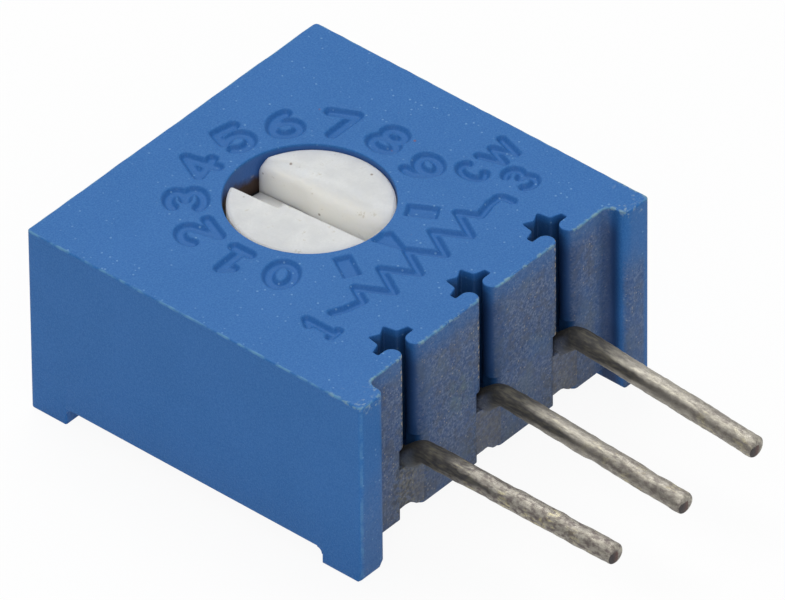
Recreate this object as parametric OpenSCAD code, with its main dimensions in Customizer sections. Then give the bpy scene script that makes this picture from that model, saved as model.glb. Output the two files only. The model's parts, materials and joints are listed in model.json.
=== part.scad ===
// Single-turn cermet trimmer potentiometer: a square moulded housing, a white
// slotted rotor with an O-ring round its neck, a spring wiper on a ceramic
// element, and three in-line side leads. Millimetres, +Z up along the rotor's
// axis, origin on the plane of the feet at the centre of the square housing.

/* [Housing] */
// Side of the square housing, rib ends to back
body_w = 9.53; // [9:0.01:14]
// Height from the feet to the top face
body_h = 4.9; // [4.1:0.1:8]
// Thickness of the side and back walls
wall = 0.8; // [0.6:0.05:1]
// Thickness of the top plate round the rotor
top_t = 1; // [1:0.05:1.3]
// Radius of the upright back corners
corner_r = 0.1; // [0.05:0.05:0.5]
// How far the rotor's axis lies behind the centre
axis_back = 0.815; // [0.5:0.005:0.9]

/* [Feet and ribs] */
// Height of the feet under the housing
foot_h = 0.44; // [0.2:0.02:0.6]
// Length of a back foot from the back face
back_foot_l = 1.03; // [0.6:0.01:2]
// Length of a front foot from the rib's end
front_foot_l = 1.17; // [0.9:0.01:2]
// Width of a corner rib and of each foot
rib_w = 0.8; // [0.6:0.05:1]
// How far a rib stands out from the front wall
rib_out = 0.5; // [0.3:0.05:0.8]
// Rounding of a rib's outer upright edge
rib_edge_r = 0.1; // [0.05:0.05:0.2]
// Rounding of a rib's inner upright edge
rib_in_r = 0.22; // [0.1:0.01:0.38]
// Fillet where a rib meets the front wall
valley_r = 0.2; // [0.1:0.01:0.25]

/* [Lead channels] */
// Distance from lead to lead
pitch = 2.54; // [2.3:0.01:3.1]
// Depth of a star-shaped hole's middle behind the front wall's face
star_in = 0.54; // [0.5:0.01:0.8]
// Reach of the star's two pointed arms from its middle
star_tip_r = 0.52; // [0.4:0.01:0.6]
// Reach of its two flat-ended side arms
star_arm_r = 0.57; // [0.45:0.01:0.6]
// Width of a side arm
star_arm_w = 0.15; // [0.1:0.01:0.2]
// Distance from the star's middle to the notches between its arms
star_notch_r = 0.33; // [0.25:0.01:0.36]
// Width of the narrow throat from star hole to face
throat_w = 0.34; // [0.2:0.01:0.5]
// Rounding of the two noses that form the throat
nose_r = 0.22; // [0.1:0.01:0.25]
// Housing left between a star hole and the pocket behind it
web_t = 0.2; // [0.15:0.05:0.5]
// Room round a lead in the wide lower part of its channel
channel_fit = 0.03; // [0.02:0.01:0.08]

/* [Rotor] */
// Diameter of the rotor's neck
rotor_d = 3.7; // [2.8:0.05:4]
// Running gap all round the neck
rotor_gap = 0.05; // [0.03:0.01:0.1]
// How far the rotor's top lies below the housing's top
rotor_sink = 0.1; // [0:0.01:0.3]
// Thickness of the rotor's flange
flange_t = 0.4; // [0.3:0.05:0.5]
// Gap round and above the flange
flange_gap = 0.1; // [0.05:0.01:0.15]
// Depth of the screwdriver slot
slot_depth = 0.85; // [0.5:0.05:0.9]
// Width of the slot's wide half
slot_wide = 1.04; // [0.9:0.01:1.3]
// Width of the slot's narrow half
slot_narrow = 0.85; // [0.5:0.01:0.88]
// Where the slot steps from wide to narrow, from the rotor's axis
slot_step = 0.42; // [0:0.01:0.8]
// How far the rotor stands turned from mid-travel, in degrees
rest_turn = 4; // [-20:1:20]

/* [Stop] */
// Mechanical travel from stop to stop, in degrees
travel = 310; // [240:5:320]

/* [Seal] */
// Height of the O-ring's space, between the flange and the ceiling
seal_w = 0.5; // [0.4:0.05:0.55]
// Gap between the O-ring and the ceiling that it turns under
seal_gap = 0.02; // [0.01:0.01:0.03]

/* [Element] */
// Thickness of the ceramic substrate
sub_t = 0.5; // [0.4:0.05:0.7]
// Gap round the substrate in its pocket
sub_fit = 0.06; // [0.03:0.01:0.15]
// Thickness of the printed conductors and of the track
print_t = 0.05; // [0.02:0.01:0.08]
// Width of the resistive track
track_w = 0.6; // [0.3:0.05:0.8]
// Radius on which the wiper runs
track_r = 2.6; // [2.2:0.05:2.7]
// Half the angle that the track leaves open at the front
track_open = 45; // [42:1:60]
// Height of the space that the wiper works in
wiper_h = 0.35; // [0.3:0.05:0.6]
// Thickness of the wiper's spring sheet
wiper_t = 0.08; // [0.05:0.01:0.1]
// Gap between a fingertip and the print under it
wiper_gap = 0.03; // [0.01:0.01:0.05]
// Width of one of the wiper's fingers
finger_w = 0.2; // [0.1:0.05:0.25]

/* [Leads] */
// Diameter of a lead
lead_d = 0.51; // [0.4:0.01:0.64]
// How far a lead reaches under the substrate
lead_under = 0.9; // [0.7:0.05:1.2]
// Where a lead starts to rise, behind the front wall's face
bend_in = 0.39; // [0.3:0.01:0.6]
// Thickness of the solder between a lead and its pad
solder_film = 0.03; // [0.02:0.01:0.06]
// How far a lead rises between its solder joint and its outer run
lead_rise = 0.485; // [0.35:0.005:0.6]
// How steeply it rises, in degrees
lead_slope = 42; // [30:1:50]
// Bend radius on the lead's middle line
bend_r = 0.45; // [0.4:0.05:0.6]
// Reach of the longest lead beyond the ribs
lead_reach = 5.25; // [3:0.05:12]
// How far each outer run droops from level, leads 1 to 3, in degrees
lead_droop = [0, 3.5, 5]; // [0:0.5:8]
// How much shorter than the longest each lead is, leads 1 to 3
lead_short = [0, 0.2, 0.35]; // [0:0.05:1]
// Height of the bevel at a lead's cut end
tip_bevel = 0.06; // [0.02:0.01:0.15]

/* [Potting] */
// How far the resin stops short of the wall's lower edge
pot_recess = 0.28; // [0.1:0.02:0.4]

/* [Hidden] */
$fn = 64;
// Overlap that makes a cut clean or a joint whole
eps = 0.01;

half = body_w / 2;
face_y = -half + rib_out;
lead_x = [-pitch, 0, pitch];

// Levels, from the top down
ceiling_z = body_h - top_t;
rotor_top_z = body_h - rotor_sink;
flange_top_z = ceiling_z - seal_w;
flange_z = flange_top_z - flange_t;
sub_top_z = flange_z - wiper_h;
sub_z = sub_top_z - sub_t;
pocket_top_z = sub_top_z + print_t + eps;
pad_z = sub_z - print_t;
lead_in_z = pad_z - solder_film - lead_d / 2;
pot_z = foot_h + pot_recess;

// Radii about the rotor's axis, and the angle that a stop takes up
rotor_r = rotor_d / 2;
ring_r = (seal_w - seal_gap) / 2;
stop_r = rotor_r + seal_w + flange_gap;
chamber_r = half - wall - axis_back;
flange_r = chamber_r - flange_gap;
stop_angle = (359 - travel) / 2;

// Wiper: its flat ring, and the two posts on the rotor that hold it
wiper_in_r = 1.1;
wiper_out_r = 1.6;
wiper_root = 0.15;
post_x = (wiper_in_r + wiper_out_r) / 2;
post_r = 0.18;
post_h = 0.18;

// Plan of the star hole, the pocket behind it and the substrate
star_y = face_y + star_in;
nose_x = throat_w / 2 + nose_r;
nose_back = 2 * nose_r - star_in;
pocket_front_y = star_y + star_tip_r + web_t;
pocket_x = half - wall;
sub_front_y = pocket_front_y + sub_fit + print_t;
sub_back_y = half - wall - sub_fit;
sub_x = pocket_x - sub_fit;

// Printed pads, and the beads of solder under them
pad_w = 0.9;
pad_l = lead_under + 0.1;
pad_turn = 18;
collector_r = 0.9;
collector_w = 0.6;
solder_r = 0.6;
solder_l = lead_under - 0.05;

// Lead runs: the ramp, and where it crosses the front wall's face
bend_y = face_y + bend_in;
lead_end_y = sub_front_y + lead_under;
bend_rise = bend_r * (1 - cos(lead_slope));
ramp_l = (lead_rise - 2 * bend_rise) / sin(lead_slope);
cross_z = lead_in_z + bend_rise + (bend_in - bend_r * sin(lead_slope)) * tan(lead_slope);
channel_w = lead_d + 2 * channel_fit;
channel_top_z = cross_z + lead_d / 2 / cos(lead_slope) + channel_fit;
// A drawn wire thins a little where it is bent
bend_thin = 0.004;

function polar(r, a) = [r * cos(a), r * sin(a)];

// A plan rectangle with all four corners rounded
module round_box(x0, x1, y0, y1, r) {
    translate([x0 + r, y0]) square([x1 - x0 - 2 * r, y1 - y0]);
    translate([x0, y0 + r]) square([x1 - x0, y1 - y0 - 2 * r]);
    for (x = [x0 + r, x1 - r], y = [y0 + r, y1 - r]) translate([x, y]) circle(r);
}

// A slab of the plan shape given, from z0 up to z1
module slab(z0, z1) {
    translate([0, 0, z0]) linear_extrude(z1 - z0) children();
}

// A sector of a ring on the rotor's axis, its middle at angle a, as a plan shape
module ring_sector(r0, r1, a, spread) {
    reach = 2 * r1 / cos(min(spread / 4, 60));
    intersection() {
        difference() {
            circle(r1);
            circle(r0);
        }
        polygon([[0, 0], for (k = [-2 : 2]) reach * [cos(a + k * spread / 4), sin(a + k * spread / 4)]]);
    }
}

// Both front corner ribs, or the feet under them, out to a length from the front
module front_ribs(length) {
    inner_x = half - rib_w;
    for (side = [0, 1])
        mirror([side, 0]) {
            translate([half - rib_edge_r, -half + rib_edge_r]) circle(rib_edge_r);
            translate([inner_x + rib_in_r, -half + rib_in_r]) circle(rib_in_r);
            translate([inner_x, -half + rib_in_r]) square([rib_w, length - rib_in_r]);
            translate([inner_x + rib_in_r, -half]) square([rib_w - rib_in_r - rib_edge_r, rib_in_r + eps]);
            translate([inner_x + rib_in_r, -half + rib_edge_r])
                square([rib_w - rib_in_r, rib_in_r - rib_edge_r + eps]);
        }
}

// Fillets where the ribs meet the front wall's face
module valleys() {
    for (side = [0, 1])
        mirror([side, 0])
            difference() {
                translate([half - rib_w - valley_r, face_y - valley_r]) square(valley_r + eps);
                translate([half - rib_w - valley_r, face_y - valley_r]) circle(valley_r);
            }
}

// Plan of the walls: a rounded square behind the front face
module wall_plan() {
    difference() {
        round_box(-half, half, face_y - 2 * corner_r, half, corner_r);
        translate([-body_w, face_y - body_w]) square([2 * body_w, body_w]);
    }
    front_ribs(rib_out + 2 * corner_r);
    valleys();
}

module back_feet_plan() {
    intersection() {
        wall_plan();
        for (side = [-1, 1])
            translate([side * (half - rib_w / 2) - rib_w / 2, half - back_foot_l])
                square([rib_w, back_foot_l]);
    }
}

// Star-shaped hole with its throat, which opens through the front wall
// between two round noses; drawn about the star's middle
module star_throat_plan() {
    half_star = [polar(star_notch_r, 90), polar(star_tip_r, 62), polar(star_notch_r, 24),
        [star_arm_r, nose_back + star_arm_w], [star_arm_r, nose_back]];
    last = len(half_star) - 1;
    polygon(concat(half_star, [for (i = [last : -1 : 1]) [-half_star[i][0], half_star[i][1]]]));
    difference() {
        translate([-nose_x, -star_in - rib_out]) square([2 * nose_x, rib_out + 2 * nose_r + eps]);
        for (side = [-1, 1]) translate([side * nose_x, nose_r - star_in]) circle(nose_r);
    }
}

// Wide lower part of a lead's channel, from the face back into the pocket
module channel_plan() {
    translate([-channel_w / 2, face_y - eps]) square([channel_w, pocket_front_y - face_y + 2 * eps]);
}

module pocket_plan(gap = 0) {
    translate([-pocket_x + gap, pocket_front_y + gap])
        square([2 * (pocket_x - gap), half - wall - pocket_front_y - 2 * gap]);
}

module housing() color("royalblue") difference() {
    union() {
        slab(foot_h, body_h) wall_plan();
        slab(0, foot_h + eps) front_ribs(front_foot_l);
        slab(0, foot_h + eps) back_feet_plan();
    }
    // pocket for the substrate, open at the bottom
    slab(-eps, pocket_top_z) pocket_plan();
    translate([0, axis_back, 0]) {
        // chamber for the flange, with the stop block left hanging in it
        difference() {
            translate([0, 0, sub_z]) cylinder(r = chamber_r, h = ceiling_z - sub_z);
            slab(flange_top_z + flange_gap, ceiling_z + eps)
                ring_sector(stop_r, chamber_r + wall, -90, stop_angle);
        }
        // bore for the neck
        translate([0, 0, ceiling_z - eps]) cylinder(r = rotor_r + rotor_gap, h = top_t + 2 * eps);
    }
    for (x = lead_x) {
        slab(lead_in_z, body_h + eps) translate([x, star_y]) star_throat_plan();
        slab(-eps, channel_top_z) translate([x, 0]) channel_plan();
    }
}

// The rotor's parts are drawn pointing along +Y and then turned to rest
module at_rotor() {
    translate([0, axis_back, 0]) rotate([0, 0, rest_turn]) children();
}

module rotor() color("whitesmoke") at_rotor() {
    bevel = 0.06;
    difference() {
        union() {
            rotate_extrude()
                polygon([[0, flange_z], [flange_r, flange_z], [flange_r, flange_top_z],
                    [rotor_r, flange_top_z], [rotor_r, rotor_top_z - bevel],
                    [rotor_r - bevel, rotor_top_z], [0, rotor_top_z]]);
            // lug that meets the stop block at each end of the travel
            slab(flange_top_z - eps, ceiling_z - flange_gap)
                ring_sector(stop_r, flange_r - eps, 90, stop_angle);
            // two posts that locate the wiper
            for (side = [-1, 1])
                translate([side * post_x, 0, flange_z - post_h])
                    cylinder(r = post_r, h = post_h + eps, $fn = 24);
        }
        // slot for a screwdriver, wide at one end
        slab(rotor_top_z - slot_depth, body_h + eps) {
            translate([-slot_wide / 2, slot_step]) square([slot_wide, rotor_d]);
            translate([-slot_narrow / 2, -rotor_d]) square([slot_narrow, rotor_d + slot_step + eps]);
        }
    }
}

// O-ring stretched round the neck, on top of the flange
module o_ring() color("dimgray")
    translate([0, axis_back, flange_top_z + ring_r])
        rotate_extrude() translate([rotor_r + ring_r, 0]) circle(ring_r, $fn = 32);

// A finger along +Y from its root at y, sloping down to just above the print
module finger(y, length) {
    drop = wiper_h - print_t - wiper_t - wiper_gap;
    translate([-finger_w / 2, y, flange_z - wiper_t])
        rotate([-asin(drop / length), 0, 0]) cube([finger_w, length, wiper_t]);
}

// Wiper: a flat ring under the flange with one set of fingers that reaches out
// to the track and one that reaches in to the collector
module contact_spring() color("goldenrod") at_rotor() {
    difference() {
        translate([0, 0, flange_z - wiper_t]) cylinder(r = wiper_out_r, h = wiper_t);
        translate([0, 0, flange_z - wiper_h]) cylinder(r = wiper_in_r, h = wiper_h + eps);
        for (side = [-1, 1])
            translate([side * post_x, 0, flange_z - wiper_h])
                cylinder(r = post_r + sub_fit / 2, h = wiper_h + eps, $fn = 24);
    }
    for (k = [-1 : 1]) translate([1.5 * k * finger_w, 0, 0]) {
        finger(wiper_out_r - wiper_root, track_r - wiper_out_r + wiper_root);
        rotate([0, 0, 180]) finger(-wiper_in_r - wiper_root, wiper_in_r - wiper_root);
    }
}

module substrate() color("ivory")
    slab(sub_z, sub_top_z)
        translate([-sub_x, sub_front_y]) square([2 * sub_x, sub_back_y - sub_front_y]);

// Printed arc that the wiper runs on, open at the front
module resistive_track() color("dimgray")
    translate([0, axis_back, 0])
        slab(sub_top_z, sub_top_z + print_t)
            difference() {
                circle(track_r + track_w / 2);
                circle(track_r - track_w / 2);
                ring_sector(0, track_r + track_w, -90, 2 * track_open);
            }

// A print's turn over the substrate's front edge to the pad under it
module edge_wrap(x) {
    translate([x - pad_w / 2, sub_front_y - print_t, pad_z]) {
        cube([pad_w, print_t, sub_t + 2 * print_t]);
        cube([pad_w, pad_l + print_t, print_t]);
    }
}

// A point on the middle of the track, a number of degrees from the front
function on_track(turn) = [0, axis_back] + polar(track_r, turn - 90);

// Conductor from one end of the track to the front edge; side is -1 or 1
module end_pad(side) color("silver") mirror([side < 0 ? 1 : 0, 0, 0]) {
    slab(sub_top_z, sub_top_z + print_t) {
        translate([0, axis_back])
            ring_sector(track_r - track_w / 2, track_r + track_w / 2,
                track_open - pad_turn / 2 - 90, pad_turn);
        polygon([[pitch - pad_w / 2, sub_front_y], [pitch + pad_w / 2, sub_front_y],
            [pitch + pad_w / 2, sub_front_y + pad_w],
            on_track(track_open - 3), on_track(track_open - pad_turn + 3)]);
    }
    edge_wrap(pitch);
}

module end_pad_1() end_pad(-1);
module end_pad_3() end_pad(1);

// Round pad on the rotor's axis with its conductor to the front edge
module collector_pad() color("silver") {
    slab(sub_top_z, sub_top_z + print_t) {
        translate([0, axis_back]) circle(collector_r);
        translate([-collector_w / 2, sub_front_y]) square([collector_w, axis_back - sub_front_y]);
    }
    edge_wrap(0);
}

// A straight length of lead along -Y; what follows starts at its end
module run(length) {
    translate([0, eps, 0]) rotate([90, 0, 0]) cylinder(d = lead_d, h = length + 2 * eps, $fn = 32);
    translate([0, -length, 0]) children();
}

// A bend of the lead: up through the angle given, or down if it is negative
module bend(angle) {
    down = angle < 0 ? 1 : 0;
    a = abs(angle);
    mirror([0, 0, down])
        translate([0, 0, bend_r]) rotate([0, 90, 0]) rotate([180, 0, 0])
            rotate_extrude(angle = a, $fn = 48) translate([bend_r, 0]) circle(d = lead_d - bend_thin, $fn = 32);
    translate([0, -bend_r * sin(a), (1 - 2 * down) * bend_r * (1 - cos(a))])
        rotate([-angle, 0, 0]) children();
}

// The last straight length, with its cut end bevelled
module outer_run(length) {
    rotate([90, 0, 0]) rotate_extrude($fn = 32)
        polygon([[0, -eps], [lead_d / 2, -eps], [lead_d / 2, length - tip_bevel],
            [lead_d / 2 - tip_bevel, length], [0, length]]);
}

// Lead number i from 0: soldered under the substrate, it rises through its
// channel and runs out to the front
module lead(i) {
    droop = lead_droop[i];
    out_y = bend_y - ramp_l * cos(lead_slope) - bend_r * (2 * sin(lead_slope) + sin(droop));
    length = (half + lead_reach - lead_short[i] + out_y) / cos(droop);
    color("darkgray") translate([lead_x[i], lead_end_y, lead_in_z])
        run(lead_end_y - bend_y) bend(lead_slope) run(ramp_l) bend(-lead_slope - droop) outer_run(length);
}

module lead_1() lead(0);
module lead_2() lead(1);
module lead_3() lead(2);

// Half-round bead of solder under a pad, before the lead is taken out of it
module bead(i) {
    intersection() {
        translate([lead_x[i], sub_front_y + solder_l, pad_z]) rotate([90, 0, 0])
            cylinder(r = solder_r, h = solder_l, $fn = 32);
        translate([lead_x[i] - pad_w / 2, sub_front_y - eps, pad_z - 2 * solder_r])
            cube([pad_w, pad_l, 2 * solder_r]);
    }
}

module solder_joint(i) color("silver") difference() {
    bead(i);
    translate([lead_x[i], sub_front_y + pad_l, lead_in_z]) rotate([90, 0, 0])
        cylinder(d = lead_d, h = 2 * pad_l, $fn = 32);
}

module solder_joint_1() solder_joint(0);
module solder_joint_2() solder_joint(1);
module solder_joint_3() solder_joint(2);

// Resin that closes the bottom and fills the channels below the leads
module potting() color("tan") difference() {
    union() {
        slab(pot_z, sub_z) pocket_plan();
        for (x = lead_x)
            slab(pot_z, lead_in_z) translate([x - channel_w / 2, face_y])
                square([channel_w, pocket_front_y - face_y + eps]);
    }
    for (i = [0 : 2]) {
        lead(i);
        bead(i);
        edge_wrap(lead_x[i]);
    }
}

housing();
rotor();
o_ring();
contact_spring();
substrate();
resistive_track();
end_pad_1();
collector_pad();
end_pad_3();
solder_joint_1();
solder_joint_2();
solder_joint_3();
lead_1();
lead_2();
lead_3();
potting();
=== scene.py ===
# %% [markdown]
# # A square trimmer potentiometer
# The real part is a moulded blue housing the size of a fingernail, with a white slotted rotor in its top and
# three tinned wires in a row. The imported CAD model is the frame: it fixes every size, place and joint.
# Here each visible piece gets its true edges, marks and finish. Lengths are written in millimetres, as on a
# maker's drawing, and become metres only when a mesh is made.

# %% Load the frame
import json
import bpy
import numpy as np
from mathutils import Matrix, Vector
from mathutils.geometry import delaunay_2d_cdt


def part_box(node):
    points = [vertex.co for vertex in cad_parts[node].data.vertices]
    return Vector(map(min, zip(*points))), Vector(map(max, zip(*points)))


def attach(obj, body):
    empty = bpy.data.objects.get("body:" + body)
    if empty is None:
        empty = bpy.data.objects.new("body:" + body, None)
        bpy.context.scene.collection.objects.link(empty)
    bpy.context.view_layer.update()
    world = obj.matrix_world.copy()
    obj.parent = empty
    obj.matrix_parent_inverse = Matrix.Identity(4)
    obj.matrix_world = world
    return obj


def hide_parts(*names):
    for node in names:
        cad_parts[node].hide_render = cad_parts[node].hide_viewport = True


MM = 0.001
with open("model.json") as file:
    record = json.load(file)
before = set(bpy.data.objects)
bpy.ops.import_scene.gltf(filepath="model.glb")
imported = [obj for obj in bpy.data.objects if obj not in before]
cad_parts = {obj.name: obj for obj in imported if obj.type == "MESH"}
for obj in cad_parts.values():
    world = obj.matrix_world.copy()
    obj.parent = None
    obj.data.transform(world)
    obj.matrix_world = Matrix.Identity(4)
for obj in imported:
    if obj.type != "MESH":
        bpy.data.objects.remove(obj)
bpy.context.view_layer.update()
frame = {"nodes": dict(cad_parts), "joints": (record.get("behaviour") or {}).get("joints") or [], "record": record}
mounts = {mount["name"]: mount for mount in frame["record"]["mounts"]}


def box_mm(node):
    """The lowest and highest corner of a CAD node, in millimetres, to a thousandth."""
    return [np.round(np.array(corner) / MM, 3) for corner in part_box(node)]


# %% [markdown]
# The sizes come first. What the frame can tell is read from it, such as the housing's box and the rotor's
# axis. The plan of the front wall, with its star-shaped holes, repeats the CAD part's own values.

# %% Sizes of the housing
HALF, TOP = box_mm("housing")[1][[0, 2]]
AXIS = np.array(frame["joints"][0]["pos_m"][:2]) / MM
LEADS = [box_mm(f"lead_{k}") for k in (1, 2, 3)]
LEAD_X = [(low[0] + high[0]) / 2 for low, high in LEADS]
WALL, FOOT_H, CORNER_R = 0.8, 0.44, 0.1
RIB_W, RIB_OUT, RIB_IN_R, RIB_OUT_R, VALLEY_R = 0.8, 0.5, 0.22, 0.1, 0.2
FRONT_FOOT, BACK_FOOT = 1.17, 1.03
FACE_Y = -HALF + RIB_OUT
STAR_IN, NOSE_R, THROAT_W = 0.54, 0.22, 0.34
STAR_Y = FACE_Y + STAR_IN
POCKET_Y, POCKET_X = -3.005, HALF - WALL
THROAT_Z, CHANNEL_Z, CHANNEL_W = 1.815, 2.384, 0.57
CEILING_Z, SUBSTRATE_Z, BORE_R, CHAMBER_R = 3.9, 2.15, 1.9, 3.15
print("housing half width, height and rotor axis in mm:", HALF, TOP, AXIS)

# %% [markdown]
# A plan outline is a short list of corners, each with its radius, as on a drawing. Every round edge of the
# part, the noses beside the slots included, is a corner with an arc in it.

# %% Plan outlines from corners
def unit(vectors):
    """Vectors scaled to length one."""
    return vectors / np.maximum(np.linalg.norm(vectors, axis=-1, keepdims=True), 1e-9)


def rounded(corners, step=0.12, turn=12):
    """A closed outline from (x, y, radius) corners.

    Each corner becomes the arc that touches both its sides: its centre lies on the line that halves the
    angle, at the radius over the sine of half the angle. Arcs have a point every turn degrees and straight
    sides one every step."""
    table = np.array(corners, float)
    points, radii = table[:, :2], table[:, 2]
    arcs = []
    for here, last, ahead, radius in zip(points, np.roll(points, 1, 0), np.roll(points, -1, 0), radii):
        to_last, to_next = unit(last - here), unit(ahead - here)
        half_angle = np.arccos(np.clip(to_last @ to_next, -1, 1)) / 2
        middle = here + unit(to_last + to_next) * radius / np.sin(half_angle)
        ends = [here + way * radius / np.tan(half_angle) - middle for way in (to_last, to_next)]
        start, stop = (np.arctan2(end[1], end[0]) for end in ends)
        sweep = (stop - start + np.pi) % (2 * np.pi) - np.pi
        angles = start + sweep * np.linspace(0, 1, int(abs(sweep) / np.radians(turn)) + 2)
        arcs.append(middle + radius * np.stack([np.cos(angles), np.sin(angles)], 1))
    parts = []
    for arc, ahead in zip(arcs, arcs[1:] + arcs[:1]):
        gap = ahead[0] - arc[-1]
        share = np.linspace(0, 1, int(np.linalg.norm(gap) / step) + 2)[1:-1, None]
        parts += [arc, arc[-1] + share * gap]
    outline = np.concatenate(parts)
    return outline[np.linalg.norm(outline - np.roll(outline, 1, 0), axis=1) > 1e-4]


def circle(radius, centre=AXIS, count=160):
    """A circle as a closed outline."""
    angles = np.arange(count) * 2 * np.pi / count
    return centre + radius * np.stack([np.cos(angles), np.sin(angles)], 1)


def outward(outline):
    """The way straight out of an outline at each point: the mean of its two sides' normals."""
    side = unit(np.roll(outline, -1, 0) - outline)
    normal = np.stack([side[:, 1], -side[:, 0]], 1)
    return unit(normal + np.roll(normal, 1, 0))


# %% Plan of the housing's walls, with and without the three star holes
STAR_RIGHT = [(0, 0.33, 0.08), (0.244, 0.459, 0.035), (0.301, 0.134, 0.08), (0.57, 0.05, 0.03),
              (0.57, -0.1, 0.03), (THROAT_W / 2, -0.1, NOSE_R), (THROAT_W / 2, -STAR_IN, NOSE_R)]
STAR = [(-x, y, r) for x, y, r in STAR_RIGHT[:0:-1]] + STAR_RIGHT
RIB_FOOT = [(HALF - RIB_W, FACE_Y, VALLEY_R), (HALF - RIB_W, -HALF, RIB_IN_R), (HALF, -HALF, RIB_OUT_R)]
BACK_CORNERS = [(HALF, HALF, CORNER_R), (-HALF, HALF, CORNER_R)]


def wall_plan(stars):
    """The walls' outline, counterclockwise: left rib, front with its stars if asked, right rib, back."""
    front = [(x + dx, STAR_Y + dy, r) for x in LEAD_X for dx, dy, r in STAR] if stars else []
    left_rib = [(-x, y, r) for x, y, r in RIB_FOOT[::-1]]
    return rounded(left_rib + front + RIB_FOOT + BACK_CORNERS)


star_plan, plain_plan = wall_plan(True), wall_plan(False)
print("outline points with and without the stars:", len(star_plan), len(plain_plan))

# %% [markdown]
# A moulded block is one plan outline carried up through a profile. The profile says, at each height, how far
# the wall has drawn in, so a quarter circle at its end rounds the edge. The flat ends are filled with a
# Delaunay triangulation, which may also take points of its own. That is how the marks get into the top.

# %% Blocks carried up from a plan
def triangles(loops, extra=None):
    """Triangles that fill the plan between the loops, through the extra points, all facing up.

    Those of the full triangulation are kept whose middle lies inside the loops."""
    loose = [] if extra is None else [extra]
    points = np.concatenate(list(loops) + loose)
    starts = np.cumsum([0] + [len(loop) for loop in loops])
    ring = [np.stack([np.arange(a, b), np.roll(np.arange(a, b), -1)], 1) for a, b in zip(starts, starts[1:])]
    found = delaunay_2d_cdt([Vector(p) for p in points], np.concatenate(ring).tolist(), [], 0, 1e-7)
    original = np.array([ids[0] for ids in found[3]])
    faces = original[np.array(found[2])]
    middles = points[faces].mean(1)
    return faces[inside(middles, loops)]


def inside(points, loops):
    """Whether each point lies inside the loops: a line to its right crosses them an odd number of times."""
    starts = np.concatenate(loops)
    ends = np.concatenate([np.roll(loop, -1, 0) for loop in loops])
    crossings = np.zeros(len(points), int)
    for start, end in zip(starts, ends):
        spans = (start[1] > points[:, 1]) != (end[1] > points[:, 1])
        rise = end[1] - start[1]
        if rise:
            at = start[0] + (points[:, 1] - start[1]) * (end[0] - start[0]) / rise
            crossings += spans & (points[:, 0] < at)
    return crossings % 2 == 1


def quarter(radius, count=5):
    """A rounded edge as (inset, drop) pairs from flat to wall: one quarter of a circle, count steps long."""
    angles = np.linspace(0, np.pi / 2, count + 1)
    return [(radius * (1 - np.sin(a)), radius * (1 - np.cos(a))) for a in angles]


def block(loops, profiles, extra=None, extra_z=None):
    """Points and faces of a closed solid: each loop is carried up through its profile of (inset, z) pairs.

    A point of the wall is its plan point less the outward way times the inset, at the profile's height.
    Insets and heights may be arrays, with one value for each of the loop's points."""
    rings = [[np.column_stack([loop - outward(loop) * np.reshape(inset, (-1, 1)),
                               np.broadcast_to(z, len(loop))]) for inset, z in profile]
             for loop, profile in zip(loops, profiles)]
    points, faces, ends, count = [], [], [[], []], 0
    for loop_rings in rings:
        width = len(loop_rings[0])
        grid = count + np.arange(len(loop_rings) * width).reshape(-1, width)
        near, far = grid, np.roll(grid, -1, 1)
        faces.append(np.stack([near[:-1], far[:-1], far[1:], near[1:]], -1).reshape(-1, 4))
        points += loop_rings
        ends[0].append(grid[0])
        ends[1].append(grid[-1])
        count += grid.size
    index = [np.concatenate(ids) for ids in ends]
    low = triangles([r[0][:, :2] for r in rings])
    high = triangles([r[-1][:, :2] for r in rings], extra)
    if extra is not None:
        points.append(np.column_stack([extra, extra_z]))
        index[1] = np.concatenate([index[1], count + np.arange(len(extra))])
    faces += [index[0][low[:, ::-1]], index[1][high]]
    return np.concatenate(points), [face for part in faces for face in part.tolist()]


def slab(outline, z0, z1, foot=0.0, edge=0.0):
    """A plain block from z0 to z1 with its lower and upper edges rounded by the radii foot and edge."""
    lower = [(inset, z0 + drop) for inset, drop in quarter(foot)] if foot else [(0, z0)]
    upper = [(inset, z1 - drop) for inset, drop in quarter(edge)[::-1]] if edge else [(0, z1)]
    return block([outline], [lower + upper])


print("a plain block has", len(slab(plain_plan, FOOT_H, THROAT_Z)[1]), "faces")

# %% [markdown]
# The marks are sunk into the top when the housing is moulded: dial numerals round the rotor, the sign for a
# resistor with its wiper's arrow, the two bars that show where the travel ends, and the names of the outer
# leads. Each is a stroke of one width along a line, so its depth follows from the distance to that line.

# %% Strokes of the marks
def bow(x, y, rx, ry, start, stop, count=16):
    """An arc of an ellipse as points, from one angle to another in degrees."""
    angles = np.radians(np.linspace(start, stop, count + 1))
    return np.stack([x + rx * np.cos(angles), y + ry * np.sin(angles)], 1)


def line(*points):
    """A polyline through the points given, or through rows of points."""
    return np.concatenate([np.atleast_2d(np.array(p, float)) for p in points])


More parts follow.
